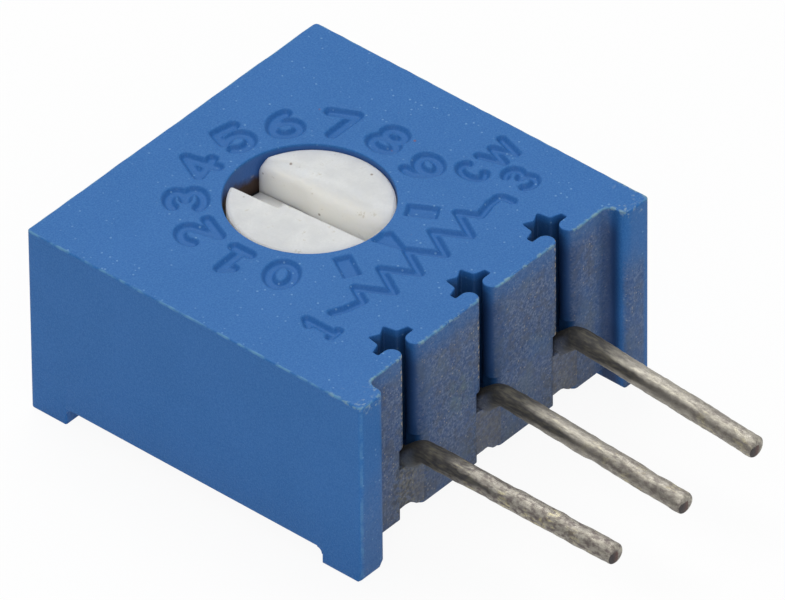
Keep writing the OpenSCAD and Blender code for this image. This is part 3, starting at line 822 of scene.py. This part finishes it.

# %% [markdown]
# The housing is a satin moulded plastic. Its top and sides are a clean mid blue, but dust has caught on the
# front panels between the slots, with one paler patch, and is thinner beside each slot and in the hollows
# next to the ribs. Those hollows, the floors and walls of the marks and the insides of the holes and channels
# in the front are painted darker as shade; so are the strips right of each slot, which also carry some grime.
# The ribs' rounded front corners are painted paler as a highlight. Residue lies round the lead roots, and
# crumbs lie along the right edge of each panel. Handling has rubbed the upper edges pale. Inside the bore
# grease and rotor debris gather. Each of these is a mask made of noise and of distances, and the masks blend
# the colours one over the other.

# %% The housing's finish
def dusty(finish):
    """The colour of the dust film: grey-blue in fine grains, with a green stain, tan and dark specks."""
    dust = finish.blend(finish.noise(0.06, 4).rise(0.3, 0.7), srgb(78, 95, 126), srgb(128, 140, 164))
    dust = finish.blend(finish.noise(0.13, 5).rise(0.45, 0.6) * 0.5, dust, srgb(60, 82, 130))
    dust = finish.blend(finish.noise(0.2, 5).rise(0.48, 0.62) * 0.5, dust, srgb(96, 98, 104))
    dust = finish.blend(finish.noise(0.8, 5).rise(0.48, 0.7) * 0.45, dust, srgb(112, 126, 134))
    dust = finish.blend(finish.z.fade(0.6, 2.6) * 0.35, dust, srgb(112, 112, 110))
    dust = finish.blend(finish.specks(0.07, 0.12, 0.28) * 0.6, dust, srgb(186, 178, 160))
    return finish.blend(finish.specks(0.08, 0.15, 0.28) * 0.6, dust, srgb(44, 60, 92))


plastic = Finish("moulded_blue_plastic")
across = plastic.x - float(AXIS[0])
along = plastic.y - float(AXIS[1])
radius = (across * across + along * along) ** 0.5
grain = plastic.noise(0.05, 4)
cloud = plastic.noise(1.6, 4)
fleck = plastic.noise(0.03, 2)
blue = plastic.blend(cloud.rise(0.3, 0.7), srgb(38, 101, 170), srgb(44, 105, 175))
blue = plastic.blend(fleck.rise(0.3, 0.7) * 0.7, blue, srgb(62, 122, 184))
blue = plastic.blend(grain.rise(0.4, 0.7) * 0.4, blue, srgb(30, 94, 162))
up = plastic.nz.rise(0.5, 0.9)
sunk = up * plastic.z.fade(TOP - 0.08, TOP - 0.02) * plastic.z.rise(TOP - 0.3, TOP - 0.2)
mark_wall_shade = plastic.nz.fade(0.75, 0.98) * plastic.z.between(TOP - 0.14, TOP - 0.004, 0.004)
mark_wall_shade = mark_wall_shade * plastic.attribute("rim").rise(0.1, 0.16) * radius.rise(BORE_R + 0.1, BORE_R + 0.12)
# Painted shade: the floors of the sunk marks are painted a darker blue.
blue = plastic.blend(sunk * 0.35, blue, srgb(34, 92, 158))
# Painted shade: the walls of the marks are painted darker blue still.
blue = plastic.blend(mark_wall_shade * 0.22, blue, srgb(20, 66, 134))
pale_dots = plastic.specks(0.13, 0.2, 0.18) * cloud.rise(0.3, 0.6)
blue = plastic.blend(pale_dots * 0.6, blue, srgb(124, 170, 212))
rust_dots = plastic.specks(0.5, 0.08, 0.06, 0.03) * up
blue = plastic.blend(rust_dots * 0.8, blue, srgb(120, 80, 90))

off_middle = plastic.x.size()
front = (0.3 * grain - 0.15 - plastic.ny).rise(0.3, 0.95) * plastic.y.fade(FACE_Y + 0.02, FACE_Y + 0.14)
on_rib = plastic.y.fade(FACE_Y - 0.2, FACE_Y - 0.1)
right_side = plastic.x.rise(-4, 4)
low_down = 1 - (plastic.z + 1.2 * plastic.noise(0.8) - right_side).rise(2.4, 3.8)
rib_dust = low_down * (0.3 + 0.5 * right_side)
film = front * (1 - on_rib * (1 - rib_dust)) * (0.72 + 0.28 * plastic.noise(0.9, 5).rise(0.25, 0.5))
film = film * (1 - 0.5 * (plastic.z + 0.3 * grain).rise(TOP - 0.5, TOP - 0.05))
film = film * (plastic.x + 0.08 * grain).fade(HALF - 0.2, HALF - 0.06)
for x in LEAD_X:
    beside = (plastic.x - x).rise(THROAT_W / 2 - 0.06, THROAT_W / 2)
    beside = beside * (plastic.x - x + 0.3 * grain).fade(0.45, 0.95)
    beside = beside * (1 - on_rib) * plastic.z.rise(1.9, 2.6)
    beside = beside * (1 - 0.7 * plastic.z.rise(TOP - 0.7, TOP - 0.1))
    beside = beside * plastic.y.fade(FACE_Y + 0.3, FACE_Y + 0.5)
    film = film * (1 - 0.5 * beside)
    # Painted shade, with some grime: the strip right of each slot, over its rounded nose, is painted dark blue.
    blue = plastic.blend(beside * (1 - up) * 0.8, blue, srgb(24, 52, 96))
valley_shade_and_thin_dust = off_middle.rise(3.35, 3.92) * off_middle.fade(4.08, 4.2)
valley_shade_and_thin_dust = valley_shade_and_thin_dust * plastic.y.fade(FACE_Y + 0.1, FACE_Y + 0.3)
valley_shade_and_thin_dust = valley_shade_and_thin_dust * plastic.y.rise(-HALF + 0.08, -HALF + 0.35) * (1 - up)
valley_shade_and_thin_dust = valley_shade_and_thin_dust * (1 - 0.6 * (plastic.z + 0.4 * cloud).rise(4.3, 5.1))
film = film * (1 - 0.75 * valley_shade_and_thin_dust)
# Painted shade: the hollows between the front panels and the ribs are painted dark navy.
blue = plastic.blend(valley_shade_and_thin_dust * 0.85, blue, srgb(28, 46, 84))
worn = plastic.blend(film * (0.75 + 0.25 * fleck), blue, dusty(plastic))
film_patch = plastic.x.between(-1.25, -0.7, 0.3) * plastic.z.between(2.4, 3.2, 0.5) * front
worn = plastic.blend(film_patch * plastic.noise(0.16, 5).rise(0.4, 0.62) * 0.6, worn, srgb(118, 142, 150))
# Both start at nothing and gather one band for each lead.
stained, crumbs = 0 * plastic.x, 0 * plastic.x
for x in LEAD_X:
    stained = stained + (plastic.x - x + 0.4 * cloud).between(-0.45, 0.6, 0.25)
    crumbs = crumbs + (plastic.x - x).between(-0.35, -0.16, 0.02)
crumbs = crumbs * (1 - on_rib) * (1 - up) * plastic.y.fade(FACE_Y + 0.1, FACE_Y + 0.16)
worn = plastic.blend(crumbs * plastic.noise(0.05, 3).rise(0.5, 0.62), worn, srgb(40, 44, 56))
worn = plastic.blend(crumbs * plastic.specks(0.1, 0.7, 0.4, 0.1), worn, srgb(182, 174, 156))
stained = stained * front * (1 - on_rib) * plastic.z.between(0.3, 2.0, 0.4)
stained = stained * (1 - 0.5 * plastic.x.rise(-2.2, 0))
worn = plastic.blend(stained * plastic.noise(0.08, 5).rise(0.46, 0.6) * 0.55, worn, srgb(118, 116, 100))
worn = plastic.blend(stained * plastic.noise(0.1, 5).rise(0.46, 0.6) * 0.55, worn, srgb(42, 46, 60))

rim = plastic.attribute("rim")
rubbed = (rim + 0.05 * plastic.noise(0.15, 4)).fade(0.045, 0.08)
rubbed = rubbed * plastic.noise(0.4, 5).rise(0.42, 0.58)
worn = plastic.blend(rubbed * 0.65, worn, srgb(106, 158, 190))
at_front = plastic.y.fade(FACE_Y + 0.2, FACE_Y + 0.6)
corner = (plastic.nx * plastic.ny).size().rise(0.3, 0.46) * off_middle.rise(4.6, 4.65)
corner = corner * at_front * plastic.noise(0.3, 4).rise(0.35, 0.65)
# Painted highlight: the ribs' rounded outer front corners are painted a paler blue, in patches.
worn = plastic.blend(corner * 0.4, worn, srgb(96, 148, 188))
scuffs = plastic.noise(0.1, 5).rise(0.54, 0.64) * plastic.noise(0.45, 3).rise(0.45, 0.6)
scuffs = scuffs * off_middle.rise(3.3, 4.1)
worn = plastic.blend(rim.fade(0.12, 0.4) * scuffs * at_front * 0.6, worn, srgb(150, 176, 190))
ridge = rim.fade(0.03, 0.09) * at_front * plastic.noise(0.12, 4).rise(0.46, 0.62)
worn = plastic.blend(ridge * 0.55, worn, srgb(140, 172, 176))

in_bore = radius.fade(BORE_R + 0.02, BORE_R + 0.05) * plastic.z.fade(TOP - 0.1, TOP - 0.03)
grime = in_bore * (plastic.z + 0.5 * plastic.noise(0.5) + 0.25 * across).fade(4.45, 4.8)
bore_blue = plastic.blend(in_bore * 0.8, worn, srgb(62, 98, 162))
lined = plastic.blend(grime, bore_blue, srgb(66, 52, 46))
lined = plastic.blend(grime * plastic.specks(0.3, 0.12, 0.2), lined, srgb(170, 168, 160))
# Painted shade: behind the front face, inside the star holes and the lead channels, the walls are painted dark
# navy.
hole_shade = plastic.y.rise(FACE_Y, FACE_Y + 0.25) * plastic.z.fade(TOP - 0.25, TOP - 0.04)
hole_shade = hole_shade * plastic.y.fade(POCKET_Y, POCKET_Y + 0.1) * off_middle.fade(3.9, 4.0)
colour = plastic.blend(hole_shade * 0.6, lined, srgb(22, 36, 68))
plastic.set(Base_Color=colour, Roughness=0.46 + 0.1 * grain + 0.32 * film, Specular_IOR_Level=0.2)
plastic.bump(0.5 * grain + 0.5 * cloud + film * fleck, 0.012)
print("housing finish:", len(plastic.tree.nodes), "nodes")

# %% The rotor's finish
nylon = Finish("white_rotor_plastic")
ivory = nylon.blend(nylon.noise(0.5, 5).rise(0.3, 0.7), srgb(212, 214, 215), srgb(222, 224, 224))
ivory = nylon.blend(nylon.noise(0.05, 3).rise(0.35, 0.7) * 0.25, ivory, srgb(204, 207, 208))
# Painted light: all but the upward faces high on the head, the slot's walls and floor among them, are painted
# paler, standing for light that soaks through the nylon.
slot_light = 1 - nylon.nz.rise(0.6, 0.98) * nylon.z.rise(4.2, 4.5)
ivory = nylon.blend(slot_light * 0.95, ivory, srgb(243, 242, 237))
smear = nylon.noise(0.25, 4).rise(0.62, 0.75) * nylon.noise(0.05, 2).rise(0.4, 0.6)
ivory = nylon.blend(smear * 0.4, ivory, srgb(176, 166, 140))
ivory = nylon.blend(nylon.specks(0.3, 0.16, 0.1, 0.06) * 0.7, ivory, srgb(150, 132, 108))
ivory = nylon.blend(nylon.specks(0.4, 0.16, 0.07, 0.05) * 0.8, ivory, srgb(104, 80, 62))
nylon.set(Base_Color=ivory, Roughness=0.42 + 0.14 * nylon.noise(0.3), Specular_IOR_Level=0.4)
nylon.set(Subsurface_Weight=0.9, Subsurface_Radius=(1.0, 0.95, 0.85), Subsurface_Scale=0.7 * MM)
nylon.bump(nylon.noise(0.12, 4), 0.014)
print("rotor finish:", len(nylon.tree.nodes), "nodes")

# %% [markdown]
# The leads were tin plated and are now dull: fine scratches run along them, and small dark spots have come
# through the tin, most on the first lead and at the outer ends of the others. Along each wire a bright band
# is painted as a highlight and a dark one below it as shade, and the flux reaches further along the dark one.
# The bends next to the housing are dark with flux and dusty low at the root, and at the cut ends the dark core
# shows.

# %% The leads' finish
tinned = Finish("tinned_wire")
streak = tinned.noise(0.055, 4, tinned.stretched(1, 0.22, 1))
blotch = tinned.noise(0.09, 5, tinned.stretched(1, 0.6, 1))
grit = tinned.noise(0.03, 3)
mottled = 1 - 0.92 * tinned.x.rise(-3.2, 1.2) * (0.45 + 0.55 * tinned.y.rise(-8.4, -7.0))
round_wire = 0.73 * tinned.nx + 0.69 * tinned.nz
metal = tinned.blend(streak.rise(0.3, 0.7), srgb(142, 137, 128), srgb(170, 165, 154))
yellow = tinned.noise(0.4, 4).rise(0.5, 0.62) * streak.rise(0.45, 0.6) * mottled
metal = tinned.blend(yellow * 0.8, metal, srgb(198, 188, 144))
metal = tinned.blend(blotch.rise(0.42, 0.64) * mottled * 0.85, metal, srgb(90, 80, 80))
metal = tinned.blend(grit.rise(0.48, 0.7) * (0.2 + 0.25 * mottled), metal, srgb(110, 100, 88))
# Painted shade: a dark band along the side of each wire that is turned down and to the left.
under = round_wire.between(-0.58, -0.1, 0.18) * (0.6 + 0.5 * streak)
metal = tinned.blend(under * (0.7 - 0.35 * mottled), metal, srgb(72, 67, 62))
# Painted highlight: a bright band along the side of each wire that faces up and to the right.
painted_shine = round_wire.between(0.14, 0.4, 0.16) * streak.rise(0.25, 0.6) * (1 - 0.6 * mottled)
metal = tinned.blend(painted_shine * 0.65, metal, srgb(214, 208, 190))
# The flux reaches further along the painted dark band.
flux_reach = tinned.y + 1.3 * tinned.noise(0.5, 4, tinned.stretched(1, 0.5, 1)) + 1.2 * under
flux = flux_reach.rise(-5.7, -4.5)
FLUX_SHADES = srgb(44, 44, 46), srgb(88, 84, 72)
metal = tinned.blend(flux * 0.9, metal, tinned.blend(streak.rise(0.35, 0.75), *FLUX_SHADES))
metal = tinned.blend(tinned.y.rise(-4.9, -4.35) * 0.6, metal, srgb(40, 40, 42))
buried = tinned.y.rise(FACE_Y - 0.35, FACE_Y) * round_wire.fade(-0.45, 0.05)
metal = tinned.blend(buried * (0.5 + 0.4 * grit), metal, tinned.blend(0.35, dusty(tinned), srgb(96, 92, 78)))
aside, rough_edge = tinned.attribute("aside"), 0.05 * tinned.noise(0.08)
core = tinned.attribute("core") * (aside + rough_edge).fade(0.05, 0.08)
core = core * (tinned.attribute("above") + rough_edge).fade(0.14, 0.18)
CORE_SHADES = srgb(34, 27, 29), srgb(84, 56, 48)
metal = tinned.blend(core, metal, tinned.blend((aside + 0.1 * grit).rise(-0.08, 0.1), *CORE_SHADES))
tinned.set(Base_Color=metal, Metallic=0.5 - 0.45 * core - 0.2 * flux)
tinned.set(Roughness=0.4 + 0.2 * blotch + 0.15 * flux)
tinned.bump(0.6 * streak + 0.4 * grit, 0.012)
print("lead finish:", len(tinned.tree.nodes), "nodes")

# %% [markdown]
# The resin is a sandy tan epoxy with a filler, and where it fills the channels it is smeared with the same
# dust as the panels. The parts inside the housing keep their CAD shapes, which are right as they are, but
# each gets the finish of its own stuff.

# %% The resin's finish and those of the inner parts
epoxy = Finish("filled_epoxy")
sand = epoxy.noise(0.12, 5)
tan = epoxy.blend(sand.rise(0.3, 0.7), srgb(120, 104, 80), srgb(166, 150, 120))
tan = epoxy.blend(epoxy.noise(1.3, 4).rise(0.4, 0.7) * 0.5, tan, srgb(104, 88, 66))
tan = epoxy.blend(epoxy.specks(0.14, 0.25, 0.3) * 0.6, tan, srgb(196, 186, 160))
in_channel = epoxy.y.fade(FACE_Y + 0.1, FACE_Y + 0.4)
smeared = epoxy.blend(0.1 + 0.3 * sand, dusty(epoxy), srgb(44, 56, 84))
for k, shade in enumerate((srgb(122, 118, 98), srgb(38, 42, 52))):
    blots = epoxy.noise(0.07 + 0.02 * k, 5).rise(0.45, 0.6) * (1 - 0.6 * epoxy.x.rise(-2.6, -2.2))
    smeared = epoxy.blend(blots * 0.6, smeared, shade)
tan = epoxy.blend(in_channel, tan, smeared)
epoxy.set(Base_Color=tan, Roughness=0.6 + 0.25 * sand, IOR=1.5)
epoxy.bump(sand, 0.04)


def inner(name, first, second, size, rough, metallic, depth):
    """A finish of two tones mixed by noise of one size, with the same noise as its relief."""
    finish = Finish(name)
    tone = finish.noise(size, 5)
    colour = finish.blend(tone.rise(0.3, 0.7), srgb(*first), srgb(*second))
    finish.set(Base_Color=colour, Roughness=rough + 0.15 * tone, Metallic=metallic)
    finish.bump(tone, depth)
    return finish.material


INNER = {
    "o_ring": inner("seal_rubber", (22, 22, 24), (38, 38, 40), 0.2, 0.6, 0.0, 0.01),
    "contact_spring": inner("spring_alloy", (196, 176, 128), (214, 200, 158), 0.3, 0.25, 1.0, 0.004),
    "substrate": inner("alumina_ceramic", (226, 224, 214), (240, 238, 230), 0.15, 0.55, 0.0, 0.01),
    "resistive_track": inner("cermet_film", (34, 32, 34), (52, 50, 52), 0.1, 0.5, 0.0, 0.008),
}
silver = inner("printed_silver_film", (178, 176, 168), (206, 204, 198), 0.12, 0.4, 0.8, 0.008)
solder = inner("soft_solder", (150, 150, 148), (190, 190, 188), 0.2, 0.3, 0.9, 0.01)
INNER.update({node: silver for node in ("end_pad_1", "collector_pad", "end_pad_3")})
INNER.update({f"solder_joint_{k}": solder for k in (1, 2, 3)})
for node, material in INNER.items():
    frame["nodes"][node].data.materials.clear()
    frame["nodes"][node].data.materials.append(material)
print("inner finishes:", sorted(INNER))

# %% The pieces
def carry(piece, name, values):
    """Stores one number for each point of a piece, for its finish to read."""
    stored = piece.data.attributes.new(name, "FLOAT", "POINT")
    stored.data.foreach_set("value", np.asarray(values, np.float32))


edge_line = np.column_stack([star_plan, np.full(len(star_plan), TOP)])
outer_edge = edge_line[~in_star]
rim_gap = np.concatenate([np.sqrt(((part[:, None, :] - outer_edge[None]) ** 2).sum(-1)).min(1)
                          for part in np.array_split(body[0], 40)])
shell = add_piece("housing_shell", body, plastic.material, "stator", ["housing"], 40)
carry(shell, "rim", rim_gap)
add_piece("slotted_rotor", rotor_shape, nylon.material, "rotor_body", ["rotor"], 40)
for k, (points, faces, shares) in enumerate(wires, 1):
    lead = add_piece(f"tinned_lead_{k}", (points, faces), tinned.material, "stator",
                     [f"lead_{k}"])
    carry(lead, "core", 1 - smooth_step((shares - TIP_FLAT) / 0.06))
    carry(lead, "aside", points[:, 0] - LEAD_X[k - 1])
    carry(lead, "above", points[:, 2] - points[-1, 2])
add_piece("bottom_resin", resin, epoxy.material, "stator", ["potting"], 40)

# %% [markdown]
# The camera stands far off with a long lens, as for a catalogue picture of so small a part, so the edges
# stay almost parallel. It looks down from the front left, turned by a hair.

# %% Camera
AZIMUTH, ELEVATION, ROLL = np.radians([-48.9, 38.843, -0.571])
DISTANCE, SHIFT_X, SHIFT_Y, LENS = 400.0, 1.135, 1.95, 844.0
back = np.array([np.sin(AZIMUTH) * np.cos(ELEVATION),
                 -np.cos(AZIMUTH) * np.cos(ELEVATION), np.sin(ELEVATION)])
level = np.array([np.cos(AZIMUTH), np.sin(AZIMUTH), 0])
upright = np.cross(back, level)
right = np.cos(ROLL) * level + np.sin(ROLL) * upright
top_way = -np.sin(ROLL) * level + np.cos(ROLL) * upright
lens = bpy.data.cameras.new("camera")
lens.lens, lens.sensor_width, lens.clip_start, lens.clip_end = LENS, 36, 0.01, 10
camera = bpy.data.objects.new("camera", lens)
bpy.context.scene.collection.objects.link(camera)
stand = (SHIFT_X * right + SHIFT_Y * top_way + DISTANCE * back) * MM
facing = np.column_stack([right, top_way, back])
camera.matrix_world = Matrix([[*row, place] for row, place in zip(facing, stand)] + [[0, 0, 0, 1]])
bpy.context.scene.camera = camera
print("camera at", np.round(stand, 4))

# %% [markdown]
# The light is a pale room with two soft lamps. The stronger one stands high behind the part, so the top is
# bright and the walls that face the camera are a little darker, and the weaker one fills them from the front
# left. The floor and the room look white to the camera and in reflections, while the floor still takes part
# of the object's shadow.

# %% Light, floor and room
def lamp(name, place, size, watts, target=(0, 0, 2)):
    """A square area lamp at a place in millimetres, aimed at a target."""
    light = bpy.data.lights.new(name, "AREA")
    light.size, light.energy = size * MM, watts
    thing = bpy.data.objects.new(name, light)
    aim = (Vector(place) - Vector(target)).to_track_quat("Z", "Y").to_matrix().to_4x4()
    thing.matrix_world = Matrix.Translation(Vector(place) * MM) @ aim
    bpy.context.scene.collection.objects.link(thing)


lamp("broad_lamp", (45, 65, 170), 120, 0.196)
lamp("front_lamp", (-88, -82, 100), 120, 0.089)
ROOM_LIGHT, FLOOR_GLOW = 0.25, 0.93


def seen(tree):
    """1 on rays from the camera and in mirrors and glass, 0 on the rays that light the object."""
    rays = tree.nodes.new("ShaderNodeLightPath")
    shares = [rays.outputs[f"Is {kind} Ray"] for kind in ("Camera", "Glossy", "Transmission")]
    total = shares[0]
    for share in shares[1:]:
        either = tree.nodes.new("ShaderNodeMath")
        either.operation = "MAXIMUM"
        tree.links.new(total, either.inputs[0])
        tree.links.new(share, either.inputs[1])
        total = either.outputs[0]
    return total


world = bpy.data.worlds.new("pale_room")
bpy.context.scene.world = world
world.use_nodes = True
room = world.node_tree
shown, lit = room.nodes["Background"], room.nodes.new("ShaderNodeBackground")
shown.inputs["Color"].default_value = lit.inputs["Color"].default_value = (1, 1, 1, 1)
shown.inputs["Strength"].default_value, lit.inputs["Strength"].default_value = 1.0, ROOM_LIGHT
choice = room.nodes.new("ShaderNodeMixShader")
for socket, source in zip(choice.inputs, (seen(room), lit.outputs[0], shown.outputs[0])):
    room.links.new(source, socket)
room.links.new(choice.outputs[0], room.nodes["World Output"].inputs["Surface"])

table_top = Finish("white_table")
paper = table_top.blend(table_top.noise(30.0), (0.93, 0.93, 0.93, 1), (0.96, 0.96, 0.96, 1))
table_top.set(Base_Color=paper, Roughness=0.8)
glow = table_top.tree.nodes.new("ShaderNodeEmission")
mixer = table_top.tree.nodes.new("ShaderNodeMixShader")
share = Value(table_top, seen(table_top.tree)) * FLOOR_GLOW
for socket, source in zip(mixer.inputs, (share.socket, table_top.shader.outputs[0], glow.outputs[0])):
    table_top.tree.links.new(source, socket)
table_top.tree.links.new(mixer.outputs[0], table_top.tree.nodes["Material Output"].inputs["Surface"])
FLOOR_HALF = 1500
floor_mesh = bpy.data.meshes.new("floor")
floor_points = np.array([(-1, -1, 0), (1, -1, 0), (1, 1, 0), (-1, 1, 0)]) * FLOOR_HALF * MM
floor_mesh.from_pydata(floor_points.tolist(), [], [(0, 1, 2, 3)])
floor_mesh.materials.append(table_top.material)
floor = bpy.data.objects.new("floor", floor_mesh)
bpy.context.scene.collection.objects.link(floor)
bpy.context.scene.view_settings.view_transform = "Standard"
print("lamps, room and floor ready")
